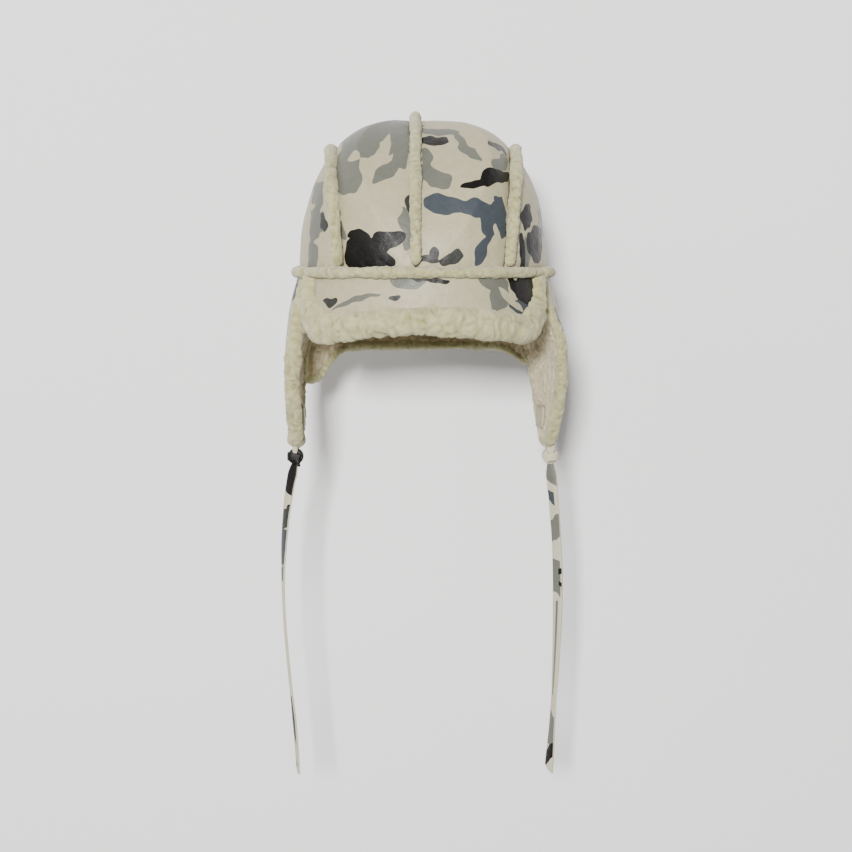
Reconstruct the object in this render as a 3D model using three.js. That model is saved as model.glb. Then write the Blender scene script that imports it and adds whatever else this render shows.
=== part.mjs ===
// Trapper hat: a four-panel leather crown with raised fleece seams, a turned-down front flap, two ear flaps
// that end in leather ties, and a neck flap. Each panel is a leather skin over a fleece lining.
//
// Millimetres, +Z up. The face looks along -Y and the wearer's left ear is on +X. The origin is the centre of
// the head opening, at the height of the seam that joins the crown to the flaps.
import * as THREE from "three";

// ---------------------------------------------------------------- driving dimensions
const CROWN = { halfWidth: 97, halfLength: 113, height: 116, taper: 0.0009 };
const CROWN_POWERS = { plan: 2.3, profile: 2.9 };
const CROWN_FOOT = 1.2; // height of the crown panels' lower edge
const LEATHER = 1.6; // thickness of every leather skin
const LAYER_GAP = 0.4; // between a skin and its lining
const LINING = 8.5; // thickness of the fleece lining
const LINING_OUT = -(LEATHER + LAYER_GAP);
const LINING_IN = LINING_OUT - LINING;
const TOUCH = 0.35; // clearance between pieces that lie on each other
const SIDE_SEAM = { foot: 61, top: 69.5 }; // distance of a side seam from the centre seam
const CENTRE_SHIFT = 6; // how far the centre seam sits to the wearer's right of the middle
const SEAM_SLOT = 1.3; // half the slot that a welt's tongue fills
const WELT = { halfWidth: 4.2, height: 6.8, tongue: 0.9, tongueDepth: 1.9 };
const BASE_WELT = { halfHeight: 4.3, proud: 8.2, tongue: 0.8, tongueDepth: 1.9 };
const PANEL_ROWS = 16;

const FLAP_TOP = -1.4; // upper edge of every flap's lining
const SHELL_TOP = -5.2; // upper edge of what lies outside the base welt's inner face
const FRONT_FLAP = { end: 0.975, drop: 50, flare: 5, corner: 12, arch: 5.5, narrowing: 0.19 };
const FRONT_WINDOW = { side: 11, foot: 21, thickness: 1.5, cornerRise: 5 };
const FRONT_BORDER = { proud: 7.5, sideWidth: 9.5, footWidth: 19 };
const NECK_FLAP = { start: 2.2, drop: 65, cornerDrop: 26, flare: 4, columns: 26 };
const FLAP_RIM = { width: 6.2, thickness: 12 };

const EAR = { top: -1.5, tip: -132, bulgeAt: -76, edgeX: 98.5, bulgeX: 108.5, tipX: 106.5 };
const EAR_LINING = 8;
const EAR_HINGE = new THREE.Vector3(102, 0, -10);
const FRONT_HINGE = new THREE.Vector3(0, -120, -10);
const NECK_HINGE = new THREE.Vector3(0, 119, -10);

const TIE_PIVOT = new THREE.Vector3(102, 0, -147);
const TIE = { width: 9, thickness: 2.2, steps: 28 };
const LOOP = { bar: 1.5, halfSpan: 7.5 };
const KNOT = { bore: 2, radius: 5.6, halfLength: 5 };
const PATCH = { halfWidth: 8, top: -106, foot: -124, thickness: 1.2 };

// Each tie's free length hangs in a slow S, given as (outward, back, height) from the hat's centre.
const LEFT_TIE_ROUTE = [
  [102, 0, -154], [103.6, -0.5, -169], [105.2, -1, -185], [106.6, -1.5, -202], [107.7, -2, -219],
  [108.4, -2.2, -236], [108.8, -2, -254], [108.8, -1.5, -272], [108.5, -1, -290], [108, -0.4, -308],
  [107.3, 0.2, -327], [106.4, 0.7, -346], [105.3, 1, -366], [104, 0.8, -385], [102.6, 0.4, -404],
];
const RIGHT_TIE_ROUTE = [
  [103, 0, -154], [106.5, -0.6, -169], [109, -1.2, -185], [110.8, -1.8, -202], [112, -2.3, -219],
  [112.6, -2.6, -236], [112.6, -2.6, -254], [112, -2.3, -272], [111, -1.8, -290], [109.6, -1.2, -308],
  [107.9, -0.6, -327], [106.2, 0, -346], [104.4, 0.5, -366], [103, 0.8, -385], [102, 1, -404],
];

// ---------------------------------------------------------------- materials
const camoLeather = new THREE.MeshStandardMaterial({ color: 0xb9b2a3, roughness: 0.45, metalness: 0 });
const fleece = new THREE.MeshStandardMaterial({ color: 0xcfc7a8, roughness: 1, metalness: 0 });
const liningFleece = new THREE.MeshStandardMaterial({ color: 0xb5a88a, roughness: 1, metalness: 0 });
const tieLeather = new THREE.MeshStandardMaterial({ color: 0x8f8f8c, roughness: 0.5, metalness: 0 });

// ---------------------------------------------------------------- mesh helpers

// Collects triangles by position, so that shared corners are one vertex and collapsed faces drop out.
class Surface {
  constructor() {
    this.points = [];
    this.faces = [];
    this.found = new Map();
  }
  corner(p) {
    const key = [p.x, p.y, p.z].map((v) => Math.round(v * 1000)).join();
    if (!this.found.has(key)) {
      this.found.set(key, this.points.length);
      this.points.push(p.clone());
    }
    return this.found.get(key);
  }
  triangle(a, b, c) {
    const ids = [a, b, c].map((p) => this.corner(p));
    if (new Set(ids).size === 3) this.faces.push(ids);
  }
  quad(a, b, c, d) {
    this.triangle(a, b, c);
    this.triangle(a, c, d);
  }
  volume() {
    const product = ([a, b, c]) => this.points[a].dot(this.points[b].clone().cross(this.points[c]));
    return this.faces.reduce((sum, face) => sum + product(face) / 6, 0);
  }
  geometry() {
    if (this.volume() < 0) this.faces.forEach((face) => face.reverse());
    return new THREE.BufferGeometry().setFromPoints(this.points).setIndex(this.faces.flat());
  }
}

// A curved plate: at(i / columns, j / rows, side) gives its two faces, side 0 outside and side 1 inside.
function plate(at, columns, rows) {
  const grid = [0, 1].map((side) =>
    Array.from({ length: columns + 1 }, (_, i) =>
      Array.from({ length: rows + 1 }, (_, j) => at(i / columns, j / rows, side)),
    ),
  );
  const [outer, inner] = grid;
  const surface = new Surface();
  for (let i = 0; i < columns; i++) {
    for (let j = 0; j < rows; j++) {
      surface.quad(outer[i][j], outer[i + 1][j], outer[i + 1][j + 1], outer[i][j + 1]);
      surface.quad(inner[i][j], inner[i][j + 1], inner[i + 1][j + 1], inner[i + 1][j]);
    }
    surface.quad(outer[i][0], inner[i][0], inner[i + 1][0], outer[i + 1][0]);
    surface.quad(outer[i][rows], outer[i + 1][rows], inner[i + 1][rows], inner[i][rows]);
  }
  for (let j = 0; j < rows; j++) {
    surface.quad(outer[0][j], outer[0][j + 1], inner[0][j + 1], inner[0][j]);
    surface.quad(outer[columns][j], inner[columns][j], inner[columns][j + 1], outer[columns][j + 1]);
  }
  return surface.geometry();
}

// A closed sweep: each station gives its own ring of points, and both ends are capped.
function sweep(rings, section) {
  const surface = new Surface();
  const count = section.length;
  for (let k = 0; k + 1 < rings.length; k++) {
    for (let i = 0; i < count; i++) {
      const next = (i + 1) % count;
      surface.quad(rings[k][i], rings[k][next], rings[k + 1][next], rings[k + 1][i]);
    }
  }
  const cap = THREE.ShapeUtils.triangulateShape(section, []);
  const last = rings.at(-1);
  for (const [a, b, c] of cap) {
    surface.triangle(rings[0][a], rings[0][c], rings[0][b]);
    surface.triangle(last[a], last[b], last[c]);
  }
  return surface.geometry();
}

// A ring of the section's points in the plane of two directions.
function ring(section, centre, across, up) {
  return section.map((s) => centre.clone().addScaledVector(across, s.x).addScaledVector(up, s.y));
}

// A rounded bead on a narrow tongue, x across and y out of the surface.
function beadSection(halfWidth, height, tongue, tongueDepth) {
  const base = TOUCH;
  return [
    [-tongue, -tongueDepth], [tongue, -tongueDepth], [tongue, base], [halfWidth * 0.82, base],
    [halfWidth, height * 0.4], [halfWidth * 0.72, height * 0.82], [0, height],
    [-halfWidth * 0.72, height * 0.82], [-halfWidth, height * 0.4], [-halfWidth * 0.82, base],
    [-tongue, base],
  ].map(([x, y]) => new THREE.Vector2(x, y));
}

// A flattened octagon as wide and as tall as asked, for rims and ties.
function ovalSection(width, height) {
  return Array.from({ length: 8 }, (_, k) => {
    const angle = (k + 0.5) * (Math.PI / 4);
    const reach = 0.5 / Math.cos(Math.PI / 8);
    return new THREE.Vector2(Math.cos(angle) * reach * width, Math.sin(angle) * reach * height);
  });
}

const vector = (x, y, z) => new THREE.Vector3(x, y, z);
const mix = (a, b, t) => a + (b - a) * t;
const smooth = (t) => t * t * (3 - 2 * t);

function named(name, geometry, material) {
  const made = new THREE.Mesh(geometry, material);
  made.name = name;
  return made;
}

// ---------------------------------------------------------------- crown surface

// The dome as a level of 1: a superellipse in plan under a superelliptic profile, narrower towards its top.
function crownLevel(x, y, z) {
  const { halfWidth, halfLength, height, taper } = CROWN;
  const { plan, profile } = CROWN_POWERS;
  const rise = Math.max(0, z - CROWN_FOOT);
  const side = Math.abs(x) / (halfWidth * (1 - taper * rise));
  const outline = side ** plan + (Math.abs(y) / halfLength) ** plan;
  return outline ** (profile / plan) + (rise / height) ** profile;
}

// The dome's outer point at a distance x from the centre seam, at an angle from the brow (0) over the top to
// the nape (pi).
function crownPoint(x, angle) {
  const at = (reach) => [-Math.cos(angle) * reach * CROWN.halfLength, Math.sin(angle) * reach * CROWN.height];
  let low = 0;
  let high = 1;
  for (let k = 0; k < 40; k++) {
    const reach = (low + high) / 2;
    const [y, rise] = at(reach);
    if (crownLevel(x, y, CROWN_FOOT + rise) < 1) low = reach;
    else high = reach;
  }
  const [y, rise] = at(low);
  return vector(x, y, CROWN_FOOT + rise);
}

// The outward normal of the dome at one of its points.
function crownNormal({ x, y, z }) {
  const step = 0.01;
  return vector(
    crownLevel(x + step, y, z) - crownLevel(x - step, y, z),
    crownLevel(x, y + step, z) - crownLevel(x, y - step, z),
    crownLevel(x, y, z + step) - crownLevel(x, y, z - step),
  ).normalize();
}

function crownOffset(x, angle, offset) {
  const p = crownPoint(x, angle);
  return p.addScaledVector(crownNormal(p), offset);
}

const seamX = (angle) => mix(SIDE_SEAM.foot, SIDE_SEAM.top, Math.sin(angle));

// The centre seam runs a little off the middle, and comes back to it at the nape.
const centreX = (angle) => -CENTRE_SHIFT * smooth(Math.min(1, (Math.PI - angle) / 1.6));

function topPanel(side, outside, inside) {
  const at = (u, v, face) => {
    const angle = v * Math.PI;
    const x = mix(side * centreX(angle) + SEAM_SLOT, seamX(angle) - SEAM_SLOT, u);
    return crownOffset(side * x, angle, face ? inside : outside);
  };
  return plate(at, 6, PANEL_ROWS);
}

// A side panel narrows to the widest point of the foot, where its rows meet.
function sidePanel(side, outside, inside) {
  const at = (u, v, face) => {
    const angle = v * Math.PI;
    const from = (seamX(angle) + SEAM_SLOT) / CROWN.halfWidth;
    const x = CROWN.halfWidth * Math.sin(mix(Math.asin(from), Math.PI / 2, u));
    return crownOffset(side * x, angle, face ? inside : outside);
  };
  return plate(at, 5, PANEL_ROWS);
}

// A welt over a seam that runs from the brow over the top to the nape.
function crownWelt(xAt) {
  const section = beadSection(WELT.halfWidth, WELT.height, WELT.tongue, WELT.tongueDepth);
  const end = 0.055; // keeps the welt's ends above the base welt
  const between = Array.from({ length: PANEL_ROWS - 1 }, (_, k) => ((k + 1) * Math.PI) / PANEL_ROWS);
  const angles = [end, ...between, Math.PI - end];
  const rings = angles.map((angle) => {
    const p = crownPoint(xAt(angle), angle);
    const up = crownNormal(p);
    const before = angle - 0.01;
    const after = angle + 0.01;
    const ahead = crownPoint(xAt(after), after).sub(crownPoint(xAt(before), before)).normalize();
    const across = ahead.cross(up).normalize();
    return ring(section, p, across, up);
  });
  return sweep(rings, section);
}

// ---------------------------------------------------------------- foot of the crown and the flaps on it

// A point of the foot's outline at a bearing from straight ahead, grown outwards by a distance.
function footPoint(bearing, z, grow) {
  const { halfWidth, halfLength } = CROWN;
  const { plan } = CROWN_POWERS;
  const s = Math.sin(bearing);
  const c = -Math.cos(bearing);
  const reach = (Math.abs(s / halfWidth) ** plan + Math.abs(c / halfLength) ** plan) ** (-1 / plan);
  const p = vector(s * reach, c * reach, z);
  return p.addScaledVector(footNormal(p), grow);
}

function footNormal({ x, y }) {
  const { halfWidth, halfLength } = CROWN;
  const power = CROWN_POWERS.plan - 1;
  const across = (Math.sign(x) * (Math.abs(x) / halfWidth) ** power) / halfWidth;
  const along = (Math.sign(y) * (Math.abs(y) / halfLength) ** power) / halfLength;
  return vector(across, along, 0).normalize();
}

function baseWelt(from, to, steps) {
  const { halfHeight, proud, tongue, tongueDepth } = BASE_WELT;
  const section = beadSection(halfHeight, proud, tongue, tongueDepth);
  const rings = Array.from({ length: steps + 1 }, (_, k) => {
    const p = footPoint(mix(from, to, k / steps), 0, 0);
    return ring(section, p, vector(0, 0, 1), footNormal(p));
  });
  return sweep(rings, section);
}

// The front flap: a share across (-1 to 1) and a drop below the seam give a point on its outer face. The flap
// flares forward as it falls, and its lower edge arches up in the middle.
const frontDrop = (across) => {
  const arch = FRONT_FLAP.arch * Math.cos((across * Math.PI) / 1.3);
  const corner = Math.max(0, (Math.abs(across) - 0.8) / 0.2);
  return FRONT_FLAP.drop - arch - FRONT_FLAP.corner * corner ** 3;
};

function frontPoint(across, drop, offset) {
  const narrowing = 1 - FRONT_FLAP.narrowing * (drop / FRONT_FLAP.drop) ** 2;
  const flare = FRONT_FLAP.flare * smooth(Math.min(1, drop / FRONT_FLAP.drop));
  return footPoint(across * FRONT_FLAP.end * narrowing, -drop, flare + offset);
}

function frontPad(top, outside, inside) {
  const at = (u, v, face) => {
    const across = mix(-1, 1, u);
    return frontPoint(across, mix(-top, frontDrop(across), v), face ? inside : outside);
  };
  return plate(at, 20, 4);
}

// The leather window in the middle of the front flap.
function frontWindow() {
  const side = 1 - FRONT_WINDOW.side / 100;
  const at = (u, v, face) => {
    const across = mix(-side, side, u);
    const corner = Math.max(0, Math.abs(across) / side - 0.7) / 0.3;
    const foot = frontDrop(across * 0.9) - FRONT_WINDOW.foot - FRONT_WINDOW.cornerRise * corner ** 2;
    return frontPoint(across, mix(-SHELL_TOP, foot, v), face ? 0 : FRONT_WINDOW.thickness);
  };
  return plate(at, 14, 3);
}

// The fleece border: down one side of the window, along the flap's foot and up the other side.
function frontBorder() {
  const { proud, sideWidth, footWidth } = FRONT_BORDER;
  const section = [
    [-0.5, 0], [0.5, 0], [0.5, proud * 0.55], [0.28, proud], [-0.28, proud], [-0.5, proud * 0.55],
  ].map(([x, y]) => new THREE.Vector2(x, y));
  const sideSteps = 4;
  const footSteps = 16;
  const stations = [];
  const sideAcross = 1 - sideWidth / 200;
  const turn = 0.82;
  for (let k = 0; k <= sideSteps; k++) {
    const drop = mix(-SHELL_TOP, 26, k / sideSteps);
    stations.push({ across: -sideAcross, drop, width: sideWidth, lean: 0 });
  }
  for (let k = 0; k <= footSteps; k++) {
    const across = mix(-turn, turn, k / footSteps);
    stations.push({ across, drop: frontDrop(across) - footWidth / 2, width: footWidth, lean: 1 });
  }
  for (let k = sideSteps; k >= 0; k--) {
    const drop = mix(-SHELL_TOP, 26, k / sideSteps);
    stations.push({ across: sideAcross, drop, width: sideWidth, lean: 2 });
  }
  const rings = stations.map(({ across, drop, width, lean }) => {
    const centre = frontPoint(across, drop, 2 * TOUCH);
    const sideways = frontPoint(across + 0.01, drop, 2 * TOUCH).sub(centre).normalize();
    const down = frontPoint(across, drop + 1, 2 * TOUCH).sub(centre).normalize();
    const out = sideways.clone().cross(down).normalize();
    if (out.dot(footNormal(centre)) < 0) out.negate();
    const angle = (lean * Math.PI) / 2;
    const wide = sideways.multiplyScalar(Math.cos(angle)).addScaledVector(down, -Math.sin(angle)).normalize();
    return section.map((s) => centre.clone().addScaledVector(wide, s.x * width).addScaledVector(out, s.y));
  });
  return sweep(rings, section);
}

// The neck flap hangs lower at its ends, where it runs into the ear flaps.
function neckDrop(bearing) {
  const fromMiddle = Math.abs(bearing - Math.PI) / (Math.PI - NECK_FLAP.start);
  return NECK_FLAP.drop + NECK_FLAP.cornerDrop * smooth(Math.max(0, (fromMiddle - 0.6) / 0.4));
}

function neckPoint(bearing, drop, offset) {
  const flare = NECK_FLAP.flare * smooth(Math.min(1, drop / NECK_FLAP.drop));
  return footPoint(bearing, -drop, flare + offset);
}

function neckPanel(top, outside, inside) {
  const at = (u, v, face) => {
    const bearing = mix(NECK_FLAP.start, 2 * Math.PI - NECK_FLAP.start, u);
    return neckPoint(bearing, mix(-top, neckDrop(bearing), v), face ? inside : outside);
  };
  return plate(at, NECK_FLAP.columns, 3);
}

// The fleece edge along the neck flap's foot.
function neckRim() {
  const section = ovalSection(FLAP_RIM.thickness, FLAP_RIM.width);
  const steps = NECK_FLAP.columns;
  const rings = Array.from({ length: steps + 1 }, (_, k) => {
    const bearing = mix(NECK_FLAP.start, 2 * Math.PI - NECK_FLAP.start, k / steps);
    const drop = neckDrop(bearing) + FLAP_RIM.width / 2 + 3 * TOUCH;
    const centre = neckPoint(bearing, drop, LINING_IN / 2);
    return ring(section, centre, footNormal(centre), vector(0, 0, 1));
  });
  return sweep(rings, section);
}

// ---------------------------------------------------------------- ear flaps

// The flap's front and rear edges, as distances along Y, against height.
const EAR_EDGE = [
  [-1.5, -41, 51], [-33, -40, 51], [-61, -37, 48], [-76, -33, 37], [-95, -27, 27], [-116, -18, 17],
  [-132, -9, 9],
];

function earEdges(z) {
  const next = Math.max(1, EAR_EDGE.findIndex((e) => e[0] <= z + 1e-6));
  const [z0, front0, rear0] = EAR_EDGE[next - 1];
  const [z1, front1, rear1] = EAR_EDGE[next];
  const t = (z - z0) / (z1 - z0);
  return [mix(front0, front1, t), mix(rear0, rear1, t)];
}

// How far out the flap's leather face hangs: it leaves the seam, swells, and comes in again at its tip.
function earX(y, z) {
  const fall = (EAR.top - z) / (EAR.top - EAR.bulgeAt);
  const centre = z > EAR.bulgeAt
    ? mix(EAR.edgeX, EAR.bulgeX, Math.sin((fall * Math.PI) / 2))
    : mix(EAR.bulgeX, EAR.tipX, smooth((EAR.bulgeAt - z) / (EAR.bulgeAt - EAR.tip)));
  const bend = mix(7.2, 2, Math.min(1, (EAR.top - z) / 110));
  return centre - bend * (y / 50) ** 2;
}

function earPanel(side, top, outside, inside) {
  const heights = [top, ...EAR_EDGE.slice(1).map((e) => e[0])];
  const rows = heights.length - 1;
  const at = (u, v, face) => {
    const z = heights[Math.round(v * rows)];
    const [front, rear] = earEdges(z);
    const y = mix(front, rear, u);
    return vector(side * (earX(y, z) + (face ? inside : outside)), y, z);
  };
  return plate(at, 8, rows);
}

// The fleece edge down the flap's front, round its tip and up its rear.
function earRim(side) {
  const section = ovalSection(FLAP_RIM.thickness, FLAP_RIM.width);
  const reach = FLAP_RIM.width / 2 + TOUCH + 0.2;
  const front = EAR_EDGE.map(([z, y]) => [y, z]);
  const rear = EAR_EDGE.map(([z, , y]) => [y, z]).reverse();
  front[0][1] = rear.at(-1)[1] = SHELL_TOP;
  const tip = [[0, EAR.tip]];
  const outline = [...front, ...tip, ...rear];
  const rings = outline.map(([y, z], k) => {
    const before = outline[Math.max(0, k - 1)];
    const after = outline[Math.min(outline.length - 1, k + 1)];
    const along = new THREE.Vector2(after[0] - before[0], after[1] - before[1]).normalize();
    const away = vector(0, along.y, -along.x); // out of the flap, in its own plane
    const centre = vector(0, y, z).addScaledVector(away, reach);
    centre.x = side * (earX(centre.y, Math.max(z, EAR.tip)) + (LINING_OUT - EAR_LINING) / 2);
    return ring(section, centre, vector(side, 0, 0), away);
  });
  return sweep(rings, section);
}

// A leather patch on the lining at the flap's tip, which the tie loop is sewn through.
function tiePatch(side) {
  const inner = LINING_OUT - EAR_LINING - TOUCH;
  const at = (u, v, face) => {
    const z = mix(PATCH.top, PATCH.foot, v);
    const y = mix(-PATCH.halfWidth, PATCH.halfWidth, u) * (1 - 0.15 * v);
    return vector(side * (earX(y, z) + inner - (face ? PATCH.thickness : 0)), y, z);
  };
  return plate(at, 3, 4);
}

// The loop: a cord bent into a U below the tip, with a straight bar at its foot for the tie.
function tieLoop(side) {
  const { bar, halfSpan } = LOOP;
  const top = EAR.tip - FLAP_RIM.width - TOUCH * 3;
  const foot = TIE_PIVOT.z;
  const corner = 3;
  const path = new THREE.CurvePath();
  const at = (y, z) => vector(side * TIE_PIVOT.x, y, z);
  path.add(new THREE.LineCurve3(at(-halfSpan, top), at(-halfSpan, foot + corner)));
  path.add(new THREE.QuadraticBezierCurve3(
    at(-halfSpan, foot + corner), at(-halfSpan, foot), at(-halfSpan + corner, foot)));
  path.add(new THREE.LineCurve3(at(-halfSpan + corner, foot), at(halfSpan - corner, foot)));
  path.add(new THREE.QuadraticBezierCurve3(
    at(halfSpan - corner, foot), at(halfSpan, foot), at(halfSpan, foot + corner)));
  path.add(new THREE.LineCurve3(at(halfSpan, foot + corner), at(halfSpan, top)));
  const shape = new THREE.Shape(ovalSection(2 * bar, 2 * bar));
  return new THREE.ExtrudeGeometry(shape, { steps: 28, bevelEnabled: false, extrudePath: path });
}

// The knot: the tie's end wrapped round the loop's bar, as a barrel with a bore.
function tieKnot(side) {
  const { bore, radius, halfLength } = KNOT;
  const profile = [
    [bore, -halfLength], [radius * 0.75, -halfLength], [radius, -halfLength * 0.45],
    [radius, halfLength * 0.45], [radius * 0.75, halfLength], [bore, halfLength], [bore, -halfLength],
  ].map(([r, h]) => new THREE.Vector2(r, h));
  const geometry = new THREE.LatheGeometry(profile, 14);
  return geometry.translate(side * TIE_PIVOT.x, 0, TIE_PIVOT.z);
}

function tieStrap(side, route) {
  const path = new THREE.CatmullRomCurve3(route.map(([out, back, z]) => vector(side * out, back, z)));
  const shape = new THREE.Shape(ovalSection(TIE.thickness, TIE.width));
  return new THREE.ExtrudeGeometry(shape, { steps: TIE.steps, bevelEnabled: false, extrudePath: path });
}

// ---------------------------------------------------------------- assembly

// A group whose origin is its joint, holding meshes that were shaped in the hat's own frame.
function hungFrom(hinge, meshes) {
  const group = new THREE.Group();
  group.position.copy(hinge);
  for (const mesh of meshes) {
    mesh.geometry.translate(-hinge.x, -hinge.y, -hinge.z);
    group.add(mesh);
  }
  return group;
}

function crown() {
  const group = new THREE.Group();
  for (const [label, side] of [["left", 1], ["right", -1]]) {
    group.add(
      named(`crown_top_${label}`, topPanel(side, 0, -LEATHER), camoLeather),
      named(`crown_side_${label}`, sidePanel(side, 0, -LEATHER), camoLeather),
      named(`crown_top_lining_${label}`, topPanel(side, LINING_OUT, LINING_IN), liningFleece),
      named(`crown_side_lining_${label}`, sidePanel(side, LINING_OUT, LINING_IN), liningFleece),
      named(`side_seam_welt_${label}`, crownWelt((angle) => side * seamX(angle)), fleece),
    );
  }
  const meet = FRONT_FLAP.end + 0.02;
  group.add(
    named("centre_seam_welt", crownWelt(centreX), fleece),
    named("brow_seam_welt", baseWelt(-meet, meet, 22), fleece),
    named("nape_seam_welt", baseWelt(meet + 0.006, 2 * Math.PI - meet - 0.006, 42), fleece),
  );
  return group;
}

function frontFlap() {
  return hungFrom(FRONT_HINGE, [
    named("front_flap_lining", frontPad(FLAP_TOP, -1.1, LINING_IN), liningFleece),
    named("front_flap_window", frontWindow(), camoLeather),
    named("front_flap_border", frontBorder(), fleece),
  ]);
}

function neckFlap() {
  return hungFrom(NECK_HINGE, [
    named("neck_flap_shell", neckPanel(SHELL_TOP, 0, -LEATHER), camoLeather),
    named("neck_flap_lining", neckPanel(FLAP_TOP, LINING_OUT, LINING_IN), liningFleece),
    named("neck_flap_edge", neckRim(), fleece),
  ]);
}

function earFlap(label, side, route) {
  const hinge = EAR_HINGE.clone();
  hinge.x *= side;
  const lining = earPanel(side, EAR.top, LINING_OUT, LINING_OUT - EAR_LINING);
  const flap = hungFrom(hinge, [
    named(`ear_flap_shell_${label}`, earPanel(side, SHELL_TOP, 0, -LEATHER), camoLeather),
    named(`ear_flap_lining_${label}`, lining, liningFleece),
    named(`ear_flap_edge_${label}`, earRim(side), fleece),
    named(`tie_patch_${label}`, tiePatch(side), camoLeather),
    named(`tie_loop_${label}`, tieLoop(side), camoLeather),
  ]);
  const pivot = TIE_PIVOT.clone();
  pivot.x *= side;
  const tie = hungFrom(pivot, [
    named(`tie_knot_${label}`, tieKnot(side), tieLeather),
    named(`tie_strap_${label}`, tieStrap(side, route), tieLeather),
  ]);
  tie.position.sub(hinge);
  flap.add(tie);
  return flap;
}

const hat = new THREE.Group();
hat.add(crown(), frontFlap(), neckFlap());
hat.add(earFlap("left", 1, LEFT_TIE_ROUTE), earFlap("right", -1, RIGHT_TIE_ROUTE));

export default hat;
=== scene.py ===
"""Trapper hat: printed leather panels over deep curly fleece, with raised fleece seams, folding flaps and
hanging leather ties.

Lengths are in millimetres until a mesh is made, in the hat's own frame: +X to the wearer's left, the face
along -Y, +Z up, from the centre of the head opening at the seam that joins the crown to the flaps.
"""

import math

import bpy
import numpy as np
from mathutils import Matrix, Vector


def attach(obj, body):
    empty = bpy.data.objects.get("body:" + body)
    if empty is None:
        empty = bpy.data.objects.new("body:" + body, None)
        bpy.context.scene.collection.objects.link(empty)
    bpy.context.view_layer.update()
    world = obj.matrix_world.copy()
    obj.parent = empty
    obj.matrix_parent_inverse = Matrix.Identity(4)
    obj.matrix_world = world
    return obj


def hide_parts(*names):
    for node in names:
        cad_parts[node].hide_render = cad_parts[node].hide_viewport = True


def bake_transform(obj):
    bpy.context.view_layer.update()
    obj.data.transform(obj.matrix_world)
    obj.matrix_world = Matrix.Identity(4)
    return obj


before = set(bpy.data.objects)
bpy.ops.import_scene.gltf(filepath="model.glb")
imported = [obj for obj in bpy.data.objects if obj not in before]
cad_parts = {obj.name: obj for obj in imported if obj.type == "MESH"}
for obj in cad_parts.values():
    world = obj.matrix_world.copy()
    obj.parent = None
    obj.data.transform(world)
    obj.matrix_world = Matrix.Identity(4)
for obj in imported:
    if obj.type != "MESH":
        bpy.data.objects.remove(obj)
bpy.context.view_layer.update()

MM = 0.001

# ---------------------------------------------------------------- driving sizes, as the CAD has them
CROWN_HALF_WIDTH, CROWN_HALF_LENGTH, CROWN_HEIGHT = 97, 113, 116
CROWN_TAPER = 0.0009
PLAN_POWER, PROFILE_POWER = 2.3, 2.9
CROWN_FOOT = 1.2
LEATHER = 1.6
LINING = 8.5
SIDE_SEAM_FOOT, SIDE_SEAM_TOP = 61, 69.5
SEAM_SLOT = 1.3
CENTRE_SHIFT = 6  # how far the soft crown's centre seam has wandered to the wearer's right

# The front flap's end, the neck flap's start and every bearing are in radians, round from straight ahead
FRONT_END, FRONT_DROP, FRONT_FLARE, FRONT_CORNER, FRONT_ARCH = 0.975, 50, 5, 12, 5.5
FRONT_NARROWING = 0.19
WINDOW_SIDE, WINDOW_FOOT = 11, 21
NECK_START, NECK_DROP, NECK_FLARE = 2.2, 65, 4
EAR_TOP, EAR_TIP, EAR_BULGE_AT = -1.5, -132, -76
EAR_EDGE_X, EAR_BULGE_X, EAR_TIP_X = 98.5, 108.5, 106.5
# An ear flap's outline, from its top down, as (height, front edge, rear edge)
EAR_EDGE = [
    (-1.5, -41, 51), (-33, -40, 51), (-61, -37, 48), (-76, -33, 37),
    (-95, -27, 27), (-116, -18, 17), (-132, -9, 9),
]
TIE_PIVOT_X, TIE_PIVOT_Z = 102, -147
TIE_WIDTH, TIE_THICKNESS = 9, 2.2
TIE_ROUTES = {
    "left": [
        (102, 0, -154), (103.6, -0.5, -169), (105.2, -1, -185), (106.6, -1.5, -202), (107.7, -2, -219),
        (108.4, -2.2, -236), (108.8, -2, -254), (108.8, -1.5, -272), (108.5, -1, -290), (108, -0.4, -308),
        (107.3, 0.2, -327), (106.4, 0.7, -346), (105.3, 1, -366), (104, 0.8, -385), (102.6, 0.4, -404),
    ],
    "right": [
        (103, 0, -154), (106.5, -0.6, -169), (109, -1.2, -185), (110.8, -1.8, -202), (112, -2.3, -219),
        (112.6, -2.6, -236), (112.6, -2.6, -254), (112, -2.3, -272), (111, -1.8, -290), (109.6, -1.2, -308),
        (107.9, -0.6, -327), (106.2, 0, -346), (104.4, 0.5, -366), (103, 0.8, -385), (102, 1, -404),
    ],
}
SIDES = {"left": 1, "right": -1}

# ---------------------------------------------------------------- sizes that only the soft parts here have
NECK_CORNER_DROPS = {1: 12, -1: 26}  # by side: the left corner has rolled up; the CAD has 26 for both
EAR_TWISTS = {"left": 0.24, "right": 0.0}  # how far each ear flap hangs turned about its length, as a slope
EAR_RIMS = {"left": 3.4, "right": 5.0}  # half the width of the fleece at each ear flap's edge
LOOP_TABS = {"left": 3.4, "right": 2.2}  # half the width of each loop where it is sewn to the flap
CURL_ROOM = 3.2  # how far short of a lining's full depth its curls begin
CURL_HEIGHT = 4.2
NECK_TUCK = 0.11  # how far round each end of the neck flap tucks in behind an ear flap, in radians
NECK_OUTWARD = 4.5  # how much further out the neck flap's corners hang than its middle
WELT_MEETING = 0.012  # how far short of the front flap's end the brow and nape welts meet, in radians
PATCH_HALF_WIDTH, PATCH_HALF_HEIGHT, PATCH_Z = 8, 9, -115

# ---------------------------------------------------------------- camera, backdrop and light
VIEW_WIDTH = 682  # what the picture spans at the hat's middle
VIEW_DISTANCE = 1350
VIEW_CENTRE = (2.4, 0, -122.8)
VIEW_AZIMUTH, VIEW_ELEVATION = math.radians(-0.5), math.radians(5.5)


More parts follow.
